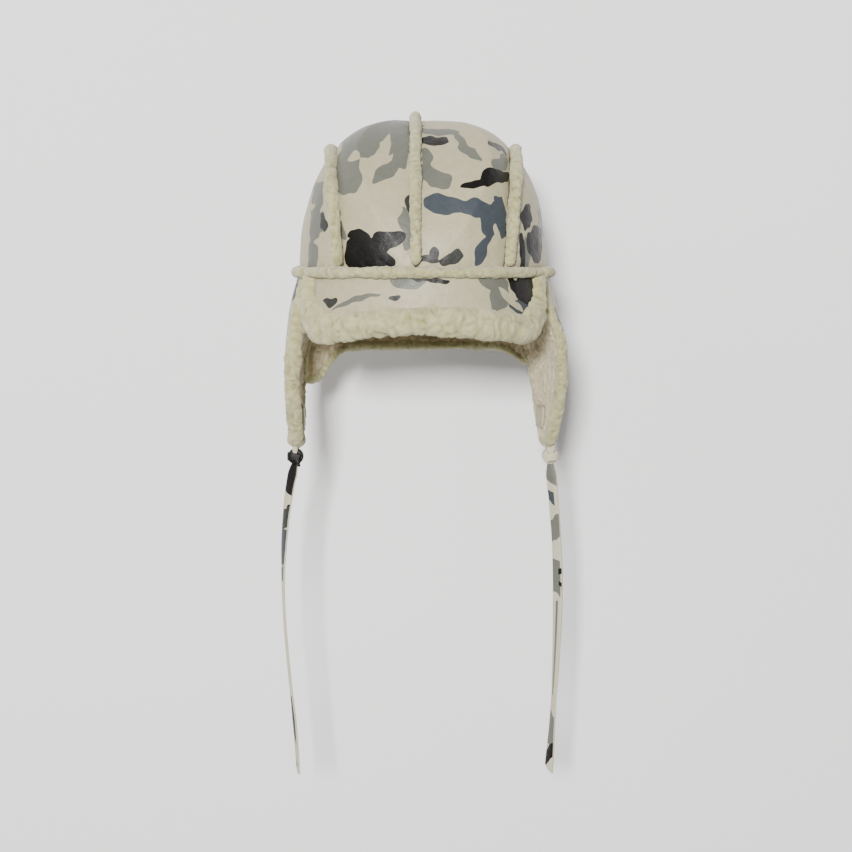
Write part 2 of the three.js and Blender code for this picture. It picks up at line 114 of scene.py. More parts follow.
def make_camera():
    camera = bpy.data.objects.new("camera", bpy.data.cameras.new("camera"))
    bpy.context.scene.collection.objects.link(camera)
    camera.data.sensor_width = 36
    camera.data.lens = 36 * VIEW_DISTANCE / VIEW_WIDTH
    camera.data.clip_start, camera.data.clip_end = 0.05, 20
    back = Vector((
        math.sin(VIEW_AZIMUTH) * math.cos(VIEW_ELEVATION),
        -math.cos(VIEW_AZIMUTH) * math.cos(VIEW_ELEVATION),
        math.sin(VIEW_ELEVATION),
    ))
    camera.location = (Vector(VIEW_CENTRE) + back * VIEW_DISTANCE) * MM
    camera.rotation_mode = "QUATERNION"
    camera.rotation_quaternion = (-back).to_track_quat("-Z", "Y")
    bpy.context.scene.camera = camera


def make_light(name, place, target, size, power, colour):
    light = bpy.data.objects.new(name, bpy.data.lights.new(name, "AREA"))
    bpy.context.scene.collection.objects.link(light)
    light.data.size, light.data.energy, light.data.color = size, power, colour
    light.location = place
    light.rotation_mode = "QUATERNION"
    light.rotation_quaternion = (Vector(target) - Vector(place)).to_track_quat("-Z", "Y")


def make_stage():
    wall = bpy.data.materials.new("backdrop")
    wall.use_nodes = True
    shader = wall.node_tree.nodes["Principled BSDF"]
    shader.inputs["Base Color"].default_value = (0.95, 0.94, 0.945, 1)
    shader.inputs["Roughness"].default_value = 1
    shader.inputs["Specular IOR Level"].default_value = 0
    # from behind, the wall is clear, so that the hat's back can be seen
    nodes, links = wall.node_tree.nodes, wall.node_tree.links
    kinds = ("NewGeometry", "BsdfTransparent", "MixShader")
    sides, clear, choice = (nodes.new(f"ShaderNode{kind}") for kind in kinds)
    links.new(sides.outputs["Backfacing"], choice.inputs[0])
    links.new(shader.outputs[0], choice.inputs[1])
    links.new(clear.outputs[0], choice.inputs[2])
    links.new(choice.outputs[0], nodes["Material Output"].inputs["Surface"])
    bpy.ops.mesh.primitive_plane_add(size=8, location=(0, 0.17, 0), rotation=(math.pi / 2, 0, 0))
    backdrop = bpy.context.object
    backdrop.name = "backdrop"
    backdrop.data.materials.append(wall)
    world = bpy.data.worlds.new("world")
    world.use_nodes = True
    world.node_tree.nodes["Background"].inputs["Color"].default_value = (1, 1, 1, 1)
    world.node_tree.nodes["Background"].inputs["Strength"].default_value = 0.33
    bpy.context.scene.world = world
    make_light("key", (-0.34, -3.0, 0.50), (0, 0, -0.10), 0.36, 175, (1, 0.99, 0.975))
    make_light("side", (-1.3, -0.9, 0.7), (0, 0, -0.02), 0.9, 6, (1, 0.985, 0.96))


# ---------------------------------------------------------------- noise


def hashed(cell, seed):
    """A number from 0 to 1 for every whole-numbered cell."""
    c = cell.astype(np.int64).astype(np.uint32)
    h = c[..., 0] * np.uint32(374761393) + c[..., 1] * np.uint32(668265263)
    h = h + c[..., 2] * np.uint32(2246822519) + np.uint32(seed * 3266489917 % 2**32)
    h = (h ^ (h >> np.uint32(15))) * np.uint32(2654435761)
    h = (h ^ (h >> np.uint32(13))) * np.uint32(1274126177)
    return (h ^ (h >> np.uint32(16))) / 2.0**32


def noise(points, size, seed):
    """Smooth noise from -1 to 1, with features of about this size."""
    q = points / size
    cell = np.floor(q)
    f = q - cell
    f = f * f * (3 - 2 * f)
    total = 0
    for corner in np.ndindex(2, 2, 2):
        weight = np.prod(np.where(np.array(corner) == 1, f, 1 - f), axis=-1)
        total = total + weight * hashed(cell + corner, seed)
    return total * 2 - 1


def cells(points, size, seed):
    """Distance to the nearest and second nearest of scattered points, about this size apart."""
    q = points / size
    cell = np.floor(q)
    first = np.full(q.shape[:-1], 9.0)
    second = first.copy()
    for offset in np.ndindex(3, 3, 3):
        near = cell + offset - 1
        site = near + np.stack([hashed(near, seed + k) for k in range(3)], -1)
        d = np.linalg.norm(site - q, axis=-1)
        second = np.minimum(second, np.maximum(first, d))
        first = np.minimum(first, d)
    return first * size, second * size


def ridges(points, size, seed):
    """Rounded strands that wind about, 0 between them and 1 along their tops."""
    return 1 - np.abs(noise(points, size, seed)) ** 0.8


def curls(points, seed, clump=7.0, curl=3.0):
    """How high the fleece stands at each point, 0 to 1: soft clumps of winding curls."""
    warp = np.stack([noise(points, 1.1 * clump, seed + k) for k in range(3)], -1)
    q = points + 0.5 * clump * warp
    near, second = cells(q, clump, seed + 5)
    clumps = np.clip((second - near) / (0.75 * clump), 0, 1)
    clumps = clumps * (2 - clumps)
    swirl = np.stack([noise(q, 1.2 * curl, seed + 11 + k) for k in range(3)], -1)
    strands = ridges(q + 0.6 * curl * swirl, 1.5 * curl, seed + 17)
    fine = ridges(q + 0.4 * curl * swirl, 0.7 * curl, seed + 19)
    return 0.34 * clumps + 0.42 * strands + 0.24 * fine


# ---------------------------------------------------------------- mesh making


def unit(v):
    return v / np.maximum(np.linalg.norm(v, axis=-1, keepdims=True), 1e-9)


def mix(a, b, t):
    return a + (b - a) * t


def smooth(t):
    t = np.clip(t, 0, 1)
    return t * t * (3 - 2 * t)


def make_mesh(name, points, faces, material, body, nodes, pile=None, shift=(0, 0, 0), prints=None):
    """A closed mesh from points in millimetres. It keeps each point's place, and where its print is taken
    from: its own place, shifted, or prints."""
    mesh = bpy.data.meshes.new(name)
    mesh.from_pydata((points * MM).tolist(), [], faces)
    if sum(f.area * f.normal.dot(f.center) for f in mesh.polygons) < 0:
        mesh.flip_normals()
    prints = points + np.array(shift) if prints is None else prints
    for attribute, values in (("rest", points), ("print", prints)):
        layer = mesh.attributes.new(attribute, "FLOAT_VECTOR", "POINT")
        layer.data.foreach_set("vector", (values * MM).astype(np.float32).ravel())
    pile = np.ones(len(points)) if pile is None else pile
    layer = mesh.attributes.new("pile", "FLOAT", "POINT")
    layer.data.foreach_set("value", pile.astype(np.float32).ravel())
    mesh.polygons.foreach_set("use_smooth", [True] * len(mesh.polygons))
    mesh.materials.append(material)
    piece = bpy.data.objects.new(name, mesh)
    bpy.context.scene.collection.objects.link(piece)
    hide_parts(*nodes)
    if body:
        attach(piece, body)
    return piece


def plate(name, front, back, *args, pile=None, **options):
    """A closed sheet between two grids of points."""
    rows, columns = front.shape[:2]
    f = np.arange(rows * columns).reshape(rows, columns)
    b = f + rows * columns
    face = np.stack([f[:-1, :-1], f[1:, :-1], f[1:, 1:], f[:-1, 1:]], -1).reshape(-1, 4)
    rear = np.stack([b[:-1, :-1], b[:-1, 1:], b[1:, 1:], b[1:, :-1]], -1).reshape(-1, 4)
    loop = np.concatenate([f[:, 0], f[-1, 1:], f[-2::-1, -1], f[0, -2:0:-1]])
    after = np.roll(loop, -1)
    edge = np.stack([after, loop, loop + rows * columns, after + rows * columns], -1)
    points = np.concatenate([front.reshape(-1, 3), back.reshape(-1, 3)])
    if pile is not None:
        pile = np.concatenate([pile.ravel(), np.full(rows * columns, 0.4)])
    faces = np.concatenate([face, rear, edge]).tolist()
    return make_mesh(name, points, faces, *args, pile=pile, **options)


def tube(name, rings, *args, pile=None, **options):
    """A closed tube through rings of points, with flat ends."""
    count, around = rings.shape[:2]
    r = np.arange(count * around).reshape(count, around)
    turned = np.roll(r, -1, axis=1)
    wall = np.stack([r[:-1], turned[:-1], turned[1:], r[1:]], -1).reshape(-1, 4)
    faces = wall.tolist() + [r[0, ::-1].tolist(), r[-1].tolist()]
    pile = None if pile is None else pile.ravel()
    return make_mesh(name, rings.reshape(-1, 3), faces, *args, pile=pile, **options)


def normals(grid):
    """Outward normals of a grid of points that wraps round the hat."""
    n = unit(np.cross(np.gradient(grid, axis=0), np.gradient(grid, axis=1)))
    return n * np.sign(np.mean(n * grid * (1, 1, 0.3)))


def grid(u_count, v_count):
    return np.meshgrid(np.linspace(0, 1, u_count), np.linspace(0, 1, v_count), indexing="ij")


def resample(points, step, soften=0):
    """A path through these points with even steps, its corners rounded over a distance."""
    points = np.array(points, float)
    for _ in range(2):
        along = np.concatenate([[0], np.cumsum(np.linalg.norm(np.diff(points, axis=0), axis=1))])
        at = np.linspace(0, along[-1], max(2, round(along[-1] / step) + 1))
        points = np.stack([np.interp(at, along, c) for c in points.T], -1)
        if soften:
            reach = max(1, round(soften / step))
            kernel = np.hanning(2 * reach + 3)[1:-1]
            kernel /= kernel.sum()
            before = 2 * points[0] - points[reach:0:-1]
            beyond = 2 * points[-1] - points[-2 : -reach - 2 : -1]
            padded = np.concatenate([before, points, beyond])
            points = np.stack([np.convolve(c, kernel, "valid") for c in padded.T], -1)
            soften = 0
    return points


def fleece_tube(
    name, centres, across, up, half_width, half_height, pile, seed, *args, around=34, clump=7.0, **options
):
    """A roll of curly fleece along a path, with rounded ends."""
    count = len(centres)
    half_width, half_height = (np.broadcast_to(h, count)[:, None, None] for h in (half_width, half_height))
    along = np.concatenate([[0], np.cumsum(np.linalg.norm(np.diff(centres, axis=0), axis=1))])
    from_end = np.minimum(along, along[-1] - along)
    taper = np.sqrt(np.clip(1 - (1 - np.clip(from_end / 6, 0, 1)) ** 2, 0.02, 1))[:, None, None]
    turn = np.linspace(0, 2 * math.pi, around, endpoint=False)[None, :, None]
    a, b = across[:, None, :], up[:, None, :]
    base = centres[:, None, :] + taper * (a * half_width * np.cos(turn) + b * half_height * np.sin(turn))
    outward = unit(a * np.cos(turn) / half_width + b * np.sin(turn) / half_height)
    height = curls(base, seed, clump, 0.4 * clump)
    rolling = 0.9 * noise(base, 16, seed + 40)
    rings = base + outward * ((pile * height + rolling)[..., None] * taper)
    return tube(name, rings, *args, pile=height, **options)


# ---------------------------------------------------------------- materials


def new_material(name):
    """A material with its shader, and a function that adds a node with its settings and links."""
    material = bpy.data.materials.new(name)
    material.use_nodes = True
    tree = material.node_tree

    def node(kind, settings=(), **inputs):
        made = tree.nodes.new("ShaderNode" + kind)
        for key, value in dict(settings).items():
            setattr(made, key, value)
        for key, value in inputs.items():
            socket = made.inputs[int(key[1:])] if key[0] == "i" and key[1:].isdigit() else made.inputs[key]
            if isinstance(value, bpy.types.NodeSocket):
                tree.links.new(value, socket)
            else:
                socket.default_value = value
        return made

    return material, tree, tree.nodes["Principled BSDF"], node


def ramp(node, value, stops, interpolation="LINEAR"):
    """A colour ramp: stops are (position, colour)."""
    made = node("ValToRGB", i0=value)
    made.color_ramp.interpolation = interpolation
    elements = made.color_ramp.elements
    while len(elements) < len(stops):
        elements.new(0.5)
    for element, (position, colour) in zip(elements, stops):
        element.position, element.color = position, (*colour, 1)
    return made.outputs[0]


def maths(node, operation, *values, **settings):
    inputs = {f"i{k}": value for k, value in enumerate(values)}
    return node("Math", {"operation": operation, **settings}, **inputs).outputs[0]


def blended(node, share, a, b):
    """Colour a where share is 0 and b where it is 1."""
    return node("Mix", {"data_type": "RGBA"}, i0=share, i6=a, i7=b).outputs[2]


def multiplied(node, share, a, b):
    """Colour a where share is 0, and a multiplied by b where it is 1."""
    return node("Mix", {"data_type": "RGBA", "blend_type": "MULTIPLY"}, i0=share, i6=a, i7=b).outputs[2]


def fleece_material(name, shaded_crease, middle, tip):
    """Curly pile with fine fibres: pale on the curls' tips, and darker and warmer down in the creases, which
    is painted shade that follows the pile's height.
    """
    material, tree, shader, node = new_material(name)
    place = node("Attribute", {"attribute_name": "rest"}).outputs["Vector"]
    pile = node("Attribute", {"attribute_name": "pile"}).outputs["Fac"]
    patches = node("TexNoise", Vector=place, Scale=55, Detail=3).outputs["Fac"]
    shifted = maths(node, "ADD", pile, maths(node, "MULTIPLY", maths(node, "SUBTRACT", patches, 0.5), 0.5))
    # painted shade: low in the pile the colour goes to the first, shaded crease colour, and high on the curls
    # to the tip colour
    colour = ramp(node, shifted, [(0.12, shaded_crease), (0.42, middle), (0.8, tip)])
    stretched = node("VectorMath", {"operation": "MULTIPLY"}, i0=place, i1=(1, 1, 0.45)).outputs[0]
    fibres = node(
        "TexNoise", Vector=stretched, Scale=1900, Detail=4, Roughness=0.7, Distortion=1.5,
    ).outputs["Fac"]
    speckle = ramp(node, fibres, [(0.3, (0.78, 0.76, 0.70)), (0.62, (1, 1, 1))])
    tree.links.new(multiplied(node, 0.8, colour, speckle), shader.inputs["Base Color"])
    bump = node("Bump", Height=fibres, Strength=0.7, Distance=0.0006)
    tree.links.new(bump.outputs[0], shader.inputs["Normal"])
    shader.inputs["Roughness"].default_value = 0.95
    shader.inputs["Specular IOR Level"].default_value = 0.15
    shader.inputs["Sheen Weight"].default_value = 0.35
    shader.inputs["Sheen Roughness"].default_value = 0.6
    return material


CREAM, PALE = (0.40, 0.362, 0.235), (0.50, 0.47, 0.34)
GREY, DARK_GREY = (0.125, 0.129, 0.106), (0.030, 0.031, 0.027)
SLATE, BLACK = (0.046, 0.056, 0.066), (0.004, 0.0035, 0.003)

SCUFF = (0.55, 0.53, 0.48)

# Placed shapes give way to scattered ones over this depth behind the middle. The scattered ones show only
# near its rear end, so on the right side panel their front edge is close to an upright line.
PRINT_CHANGE = 32
EARS_FROM = 94.5  # further out than this, on the ear flaps, every shape is scattered
EARS_CHANGE = 250  # per metre, how fast that change comes: it is complete 4 mm further out
HELD_BACK = 0.3  # how far scattered shapes are kept under their threshold where the placed ones are
SHAPE_MERGE = 0.25  # how softly placed shapes of one colour run together
PLACED_EDGE, SCATTERED_EDGE, TIE_EDGE = 40, 90, 2500  # how sharp the shapes' edges are
# Each colour's offset and threshold in the noise that scatters it
SCATTER = {
    "grey": (3.1, 0.545),
    "slate": (7.7, 0.60),
    "cream": (1.9, 0.66),
    "dark": (5.3, 0.645),
    "black": (9.4, 0.62),
}
LAYERS = [("grey", GREY), ("slate", SLATE), ("cream", CREAM), ("dark", DARK_GREY), ("black", BLACK)]
# The print's placed shapes on the front of the hat, as (colour, centre x, centre z, half length, half width,
# turn in degrees). Later colours lie over earlier ones, in the order of LAYERS.
SHAPES = [
    # the wearer's right top panel
    ("grey", -33, 102, 32, 15, 16), ("grey", -57, 71, 12, 14, 0), ("grey", -56, 84, 10, 9, 0),
    ("grey", -17, 88, 7, 13, 0), ("grey", -26, 76, 16, 5, 48), ("grey", -14, 38, 5, 10, 0),
    ("dark", -9.5, 50, 2.2, 7, 0), ("grey", -13, 24, 5, 8, 0), ("grey", -61, 33, 10, 2.6, -65),
    ("cream", -35, 85, 21, 4.8, 64), ("cream", -34, 50, 20, 14, -8), ("cream", -51, 86, 6, 5, 30),
    ("black", -45, 15, 14.5, 13, 0), ("black", -47, 27, 9, 4.5, 0), ("black", -27, 23, 12, 7.5, 24),
    ("black", -34, 9, 14, 7, 0),
    # the wearer's left top panel
    ("grey", 10, 106, 19, 4.2, -5), ("grey", 32, 94, 15, 3.4, -49), ("grey", 2.5, 85, 4.5, 7, 0),
    ("grey", 8, 70, 14, 7, -32), ("dark", 56, 93, 10, 2.2, -36), ("grey", 57, 81, 8, 6, 30),
    ("slate", 16, 50, 19, 6, -5), ("slate", 38, 48, 10, 6, 0), ("slate", 46.5, 37, 6, 13, 0),
    ("slate", 42, 15, 13, 4.2, 66), ("slate", 57, 40, 5, 17, 0), ("slate", 52, 44, 7, 5, 0),
    ("cream", 22.5, 27, 19, 15.5, 0), ("cream", 52, 30, 2.2, 7, 0), ("cream", 52, 58, 6, 5, 0),
    ("black", 7, 98, 12.5, 3.2, -3), ("black", 52, 69.5, 13, 5.8, 8), ("black", 37, 65, 10, 3.2, 18),
    ("black", 7.5, 14, 4.4, 6.5, 0), ("dark", 20, 10.5, 8, 3.4, 25), ("dark", 4, 9, 9, 3.5, 0),
    # the side panels, as far as they show from the front
    ("grey", -80, 58, 6, 12, 10), ("grey", -81, 37, 7, 13, 0), ("grey", -84, 14, 5, 12, 0),
    ("dark", -74, 37, 2, 7, 0), ("black", 77.5, 43, 4.6, 10.5, 0), ("black", 73.8, 15, 3.0, 15, 0),
    ("grey", 78.2, 16, 2.6, 13, 0), ("black", 85, 21, 6.2, 16, 0), ("grey", 92, 40, 4, 12, 0),
    # the front flap's window
    ("grey", -12, -7, 13, 5.5, 0), ("black", 3, -4.5, 15, 2.6, -8), ("dark", -23, -18.5, 5, 2.2, 0),
    ("grey", -50, -20.5, 19, 1.9, 17), ("dark", -71, -21, 6.5, 3.6, 12), ("grey", 50, -7, 11, 5, -15),
    ("grey", 55, -18, 8, 11, 0), ("slate", 71, -25, 9, 6, 0), ("cream", 63.5, -20, 13, 2.6, -45),
    ("black", 76, -12, 10, 10, 0), ("black", 66, -9, 10, 3.4, -50),
]


def placed(node, place, shapes):
    """Above 0 inside any of these shapes, whose edges the warped place makes uneven."""
    inside = None
    for _, x, z, length, width, turn in shapes:
        mapped = node(
            "Mapping", {"vector_type": "TEXTURE"}, Vector=place, Location=(x * MM, 0, z * MM),
            Rotation=(0, math.radians(-turn), 0), Scale=(length * MM, 100, width * MM),
        ).outputs[0]
        distance = node("VectorMath", {"operation": "LENGTH"}, i0=mapped).outputs["Value"]
        share = maths(node, "SUBTRACT", 1, distance)
        inside = share if inside is None else maths(node, "SMOOTH_MAX", inside, share, SHAPE_MERGE)
    return inside


def camouflage(node, place, scattered):
    """The snow camouflage: placed shapes on the front, and scattered ones of the same kind elsewhere."""
    low = node("TexNoise", Vector=place, Scale=62, Detail=1).outputs["Color"]
    warp = node("VectorMath", {"operation": "SUBTRACT"}, i0=low, i1=(0.5, 0.5, 0.5)).outputs[0]
    warp = node("VectorMath", {"operation": "SCALE"}, i0=warp, Scale=0.011).outputs[0]
    warped = node("VectorMath", {"operation": "ADD"}, i0=place, i1=warp).outputs[0]
    across, depth, _ = node("SeparateXYZ", i0=warped).outputs
    rearward = maths(node, "DIVIDE", depth, PRINT_CHANGE * MM, use_clamp=True)
    outward = maths(node, "SUBTRACT", maths(node, "ABSOLUTE", across), EARS_FROM * MM)
    on_ears = maths(node, "MULTIPLY", outward, EARS_CHANGE, use_clamp=True)
    elsewhere = maths(node, "MAXIMUM", rearward, on_ears)
    held_back = maths(node, "MULTIPLY", maths(node, "SUBTRACT", 1, elsewhere), HELD_BACK)
    printed = CREAM + (1,)
    for name, colour in LAYERS:
        inside = placed(node, warped, [s for s in SHAPES if s[0] == name])
        within = maths(node, "SUBTRACT", inside, elsewhere)
        near = maths(node, "MULTIPLY", within, PLACED_EDGE, use_clamp=True)
        offset, level = SCATTER[name]
        moved = (offset, offset * 2, -offset)
        shifted = node("VectorMath", {"operation": "ADD"}, i0=scattered, i1=moved).outputs[0]
        field = node(
            "TexNoise", Vector=shifted, Scale=24, Detail=1.2, Roughness=0.45, Distortion=0.9,
        ).outputs["Fac"]
        over = maths(node, "SUBTRACT", maths(node, "SUBTRACT", field, level), held_back)
        far = maths(node, "MULTIPLY", over, SCATTERED_EDGE, use_clamp=True)
        printed = blended(node, maths(node, "MAXIMUM", near, far), printed, (*colour, 1))
    return printed


def leather_surface(node, shader, tree, place, colour, gloss):
    """A printed hide: fine pebbles, shallow creases, faint scuffs and an uneven soft shine."""
    pebbles = node(
        "TexVoronoi", {"feature": "SMOOTH_F1"}, Vector=place, Scale=1150, Smoothness=0.6,
    ).outputs["Distance"]
    creases = node(
        "TexNoise", Vector=place, Scale=160, Detail=6, Roughness=0.62, Distortion=0.6,
    ).outputs["Fac"]
    scuffs = node("TexNoise", Vector=place, Scale=420, Detail=5, Roughness=0.75).outputs["Fac"]
    tone = ramp(node, creases, [(0.3, (0.86, 0.85, 0.83)), (0.6, (1, 1, 1))])
    toned = multiplied(node, 0.75, colour, tone)
    worn = maths(node, "MULTIPLY", maths(node, "SUBTRACT", scuffs, 0.66), 3.5, use_clamp=True)
    scuffed = blended(node, maths(node, "MULTIPLY", worn, 0.22), toned, (*SCUFF, 1))
    tree.links.new(scuffed, shader.inputs["Base Color"])
    uneven = maths(node, "MULTIPLY", maths(node, "SUBTRACT", creases, 0.5), 0.35)
    rough = maths(node, "ADD", gloss, uneven)
    tree.links.new(rough, shader.inputs["Roughness"])
    fine = node("Bump", Height=pebbles, Strength=0.22, Distance=0.00025).outputs[0]
    broad = node("Bump", Height=creases, Strength=0.5, Distance=0.0011, Normal=fine).outputs[0]
    tree.links.new(broad, shader.inputs["Normal"])
    shader.inputs["Specular IOR Level"].default_value = 0.22
    shader.inputs["Coat Weight"].default_value = 0.02
    shader.inputs["Coat Roughness"].default_value = 0.3


def camo_material():
    material, tree, shader, node = new_material("camo_leather")
    place = node("Attribute", {"attribute_name": "rest"}).outputs["Vector"]
    scattered = node("Attribute", {"attribute_name": "print"}).outputs["Vector"]
    leather_surface(node, shader, tree, place, camouflage(node, place, scattered), 0.42)
    return material


# Each tie's print, from its top down, as (colour, height, half length, slant, centre across, half across).
# The last two are shares of half the tie's width.
TIE_PRINT = {
    "right": [
        ("black", -159, 18.5, 0.5, 0, 2), ("black", -187.5, 1.6, 0, 0.8, 0.5),
        ("dark", -197, 8.5, -0.4, 0, 2), ("slate", -219, 14.5, 0.3, 0, 2), ("grey", -243, 6, -0.5, 0, 2),
        ("black", -359, 19, 0.8, 0, 2), ("grey", -398, 2, 0.3, 0, 2),
    ],
    "left": [
        ("grey", -152, 17, 0.9, 0, 2), ("slate", -181, 5, 0.8, -0.5, 0.9),
        ("grey", -205.5, 9.5, -0.6, 0, 2), ("grey", -245, 14, 0.4, -0.2, 1.0),
        ("black", -240.5, 2.4, 0, 0.7, 0.4), ("black", -251, 2.2, 0, 0.75, 0.4),
        ("grey", -304, 40, 0, 0, 0.3), ("grey", -371, 14, 0.5, 0, 2), ("black", -392, 7, -0.9, 0, 2),
    ],
}


def tie_material(side):
    """A lace cut from the printed hide: blotches across a pale ground, and pale edges and back."""
    material, tree, shader, node = new_material(f"tie_leather_{side}")
    rest = node("Attribute", {"attribute_name": "rest"}).outputs["Vector"]
    place = node("SeparateXYZ", i0=node("Attribute", {"attribute_name": "print"}).outputs["Vector"]).outputs
    wobble = node("TexNoise", Vector=rest, Scale=150, Detail=0).outputs["Fac"]
    wobble = maths(node, "MULTIPLY", maths(node, "SUBTRACT", wobble, 0.5), 0.005)
    height = maths(node, "ADD", place[2], wobble)
    colour = (*PALE, 1)
    for name, at, half, slant, centre, wide in TIE_PRINT[side]:
        sloped = maths(node, "ADD", height, maths(node, "MULTIPLY", place[0], slant))
        from_middle = maths(node, "ABSOLUTE", maths(node, "SUBTRACT", sloped, at * MM))
        along = maths(node, "SUBTRACT", half * MM, from_middle)
        aside = maths(node, "ABSOLUTE", maths(node, "SUBTRACT", place[0], centre * TIE_WIDTH / 2 * MM))
        across = maths(node, "SUBTRACT", wide * TIE_WIDTH / 2 * MM, aside)
        edge = maths(node, "MULTIPLY", maths(node, "MINIMUM", along, across), TIE_EDGE, use_clamp=True)
        colour = blended(node, edge, colour, (*dict(LAYERS)[name], 1))
    hidden = maths(node, "MULTIPLY", place[1], 1000, use_clamp=True)
    colour = blended(node, hidden, colour, (*PALE, 1))
    leather_surface(node, shader, tree, rest, colour, 0.5)
    return material


# ---------------------------------------------------------------- the hat's surfaces, as the CAD has them


def crown_level(x, y, z):
    rise = np.maximum(0, z - CROWN_FOOT)
    side = np.abs(x) / (CROWN_HALF_WIDTH * (1 - CROWN_TAPER * rise))
    outline = side**PLAN_POWER + (np.abs(y) / CROWN_HALF_LENGTH) ** PLAN_POWER
    return outline ** (PROFILE_POWER / PLAN_POWER) + (rise / CROWN_HEIGHT) ** PROFILE_POWER


def crown_point(x, angle):
    """The dome at a distance x from the middle and an angle from the brow, over the top, to the nape."""
    x, angle = np.broadcast_arrays(x, angle)
    low, high = np.zeros(x.shape), np.ones(x.shape)
    for _ in range(30):
        reach = (low + high) / 2
        y, z = -np.cos(angle) * reach * CROWN_HALF_LENGTH, CROWN_FOOT + np.sin(angle) * reach * CROWN_HEIGHT
        inside = crown_level(x, y, z) < 1
        low, high = np.where(inside, reach, low), np.where(inside, high, reach)
    return np.stack([x, y, z], -1)


def crown_normal(points):
    x, y, z = np.moveaxis(points, -1, 0)
    step = 0.01
    return unit(np.stack([
        crown_level(x + step, y, z) - crown_level(x - step, y, z),
        crown_level(x, y + step, z) - crown_level(x, y - step, z),
        crown_level(x, y, z + step) - crown_level(x, y, z - step),
    ], -1))


def centre_x(angle):
    """The centre seam runs to the wearer's right of the middle, and comes back to it at the nape."""
    return -CENTRE_SHIFT * smooth((math.pi - angle) / 1.6)


def seam_x(angle):
    return mix(SIDE_SEAM_FOOT, SIDE_SEAM_TOP, np.sin(angle))


def foot_normal(points):
    x, y = points[..., 0], points[..., 1]
    across = np.sign(x) * (np.abs(x) / CROWN_HALF_WIDTH) ** (PLAN_POWER - 1) / CROWN_HALF_WIDTH
    along = np.sign(y) * (np.abs(y) / CROWN_HALF_LENGTH) ** (PLAN_POWER - 1) / CROWN_HALF_LENGTH
    return unit(np.stack([across, along, np.zeros_like(x)], -1))


def foot_point(bearing, z, grow):
    """The foot's outline at a bearing from straight ahead, grown outwards by a distance."""
    bearing, z, grow = np.broadcast_arrays(bearing, z, grow)
    s, c = np.sin(bearing), -np.cos(bearing)
    level = np.abs(s / CROWN_HALF_WIDTH) ** PLAN_POWER + np.abs(c / CROWN_HALF_LENGTH) ** PLAN_POWER
    reach = level ** (-1 / PLAN_POWER)
    points = np.stack([s * reach, c * reach, z], -1)
    return points + foot_normal(points) * grow[..., None]


def front_drop(across):
    arch = FRONT_ARCH * np.cos(across * math.pi / 1.3)
    corner = np.maximum(0, (np.abs(across) - 0.8) / 0.2)
    return FRONT_DROP - arch - FRONT_CORNER * corner**3


def front_point(across, drop, offset):
    narrowing = 1 - FRONT_NARROWING * (drop / FRONT_DROP) ** 2
    flare = FRONT_FLARE * smooth(drop / FRONT_DROP)
    return foot_point(across * FRONT_END * narrowing, -drop, flare + offset)


def neck_drop(bearing):
    from_middle = np.abs(bearing - math.pi) / (math.pi - NECK_START)
    from_middle = np.minimum(from_middle, 1.0)
    corner = np.where(bearing < math.pi, NECK_CORNER_DROPS[1], NECK_CORNER_DROPS[-1])
    return NECK_DROP + corner * np.maximum(0, (from_middle - 0.66) / 0.34) ** 2


def neck_point(bearing, drop, offset):
    """A point on the neck flap, whose ends hang out as far as the ear flaps do."""
    corner = np.clip((np.abs(bearing - math.pi) / (math.pi - NECK_START) - 0.72) / 0.28, 0, 1.2)
    level = smooth(drop / NECK_DROP)
    return foot_point(bearing, -drop, (NECK_FLARE + NECK_OUTWARD * corner**2) * level + offset)


def ear_outline():
    """The ear flap's outline as (y, z) from its front top, round its tip, to its rear top."""
    front = [(y, z) for z, y, _ in EAR_EDGE]
    rear = [(y, z) for z, _, y in reversed(EAR_EDGE)]
    return resample([*front, (0, EAR_TIP - 1), *rear], 0.8, soften=9)


def ear_x(y, z, twist=0):
    fall = np.clip((EAR_TOP - z) / (EAR_TOP - EAR_BULGE_AT), 0, 1)
    upper = mix(EAR_EDGE_X, EAR_BULGE_X, np.sin(fall * math.pi / 2))
    lower = mix(EAR_BULGE_X, EAR_TIP_X, smooth((EAR_BULGE_AT - z) / (EAR_BULGE_AT - EAR_TIP)))
    bend = mix(7.2, 2, np.clip((EAR_TOP - z) / 110, 0, 1))
    turned = twist * (y + 8) * smooth(-(z + 12) / 50)
    return np.where(z > EAR_BULGE_AT, upper, lower) - bend * (y / 50) ** 2 - turned


# ---------------------------------------------------------------- soft sheets


def leather_relief(points, edge, seed):
    """How far a stuffed hide stands proud: full in the middle, drawn in and puckered at its seams."""
    swell = 1.5 * (1 - np.exp(-edge / 12)) - 1.0 * np.exp(-edge / 3)
    pucker = 0.7 * np.exp(-edge / 8) * noise(points, 4.5, seed + 3)
    return swell + 0.9 * noise(points, 30, seed) + 0.3 * noise(points, 11, seed + 1) + pucker


def edge_distance(points):
    """Each grid point's distance to the nearest border of its grid, along the grid's lines."""
    def along(axis):
        steps = np.linalg.norm(np.diff(points, axis=axis), axis=-1)
        run = np.insert(np.cumsum(steps, axis=axis), 0, 0, axis=axis)
        return np.minimum(run, np.take(run, [-1], axis=axis) - run)

    return np.minimum(along(0), along(1))


def leather_sheet(name, surface, seed, *args, relief=1, held="hung", **options):
    n = normals(surface)
    lift = relief * leather_relief(surface, edge_distance(surface), seed)
    front = surface + n * lift[..., None]
    piece = plate(name, front, front - n * LEATHER, *args, **options)
    return piece


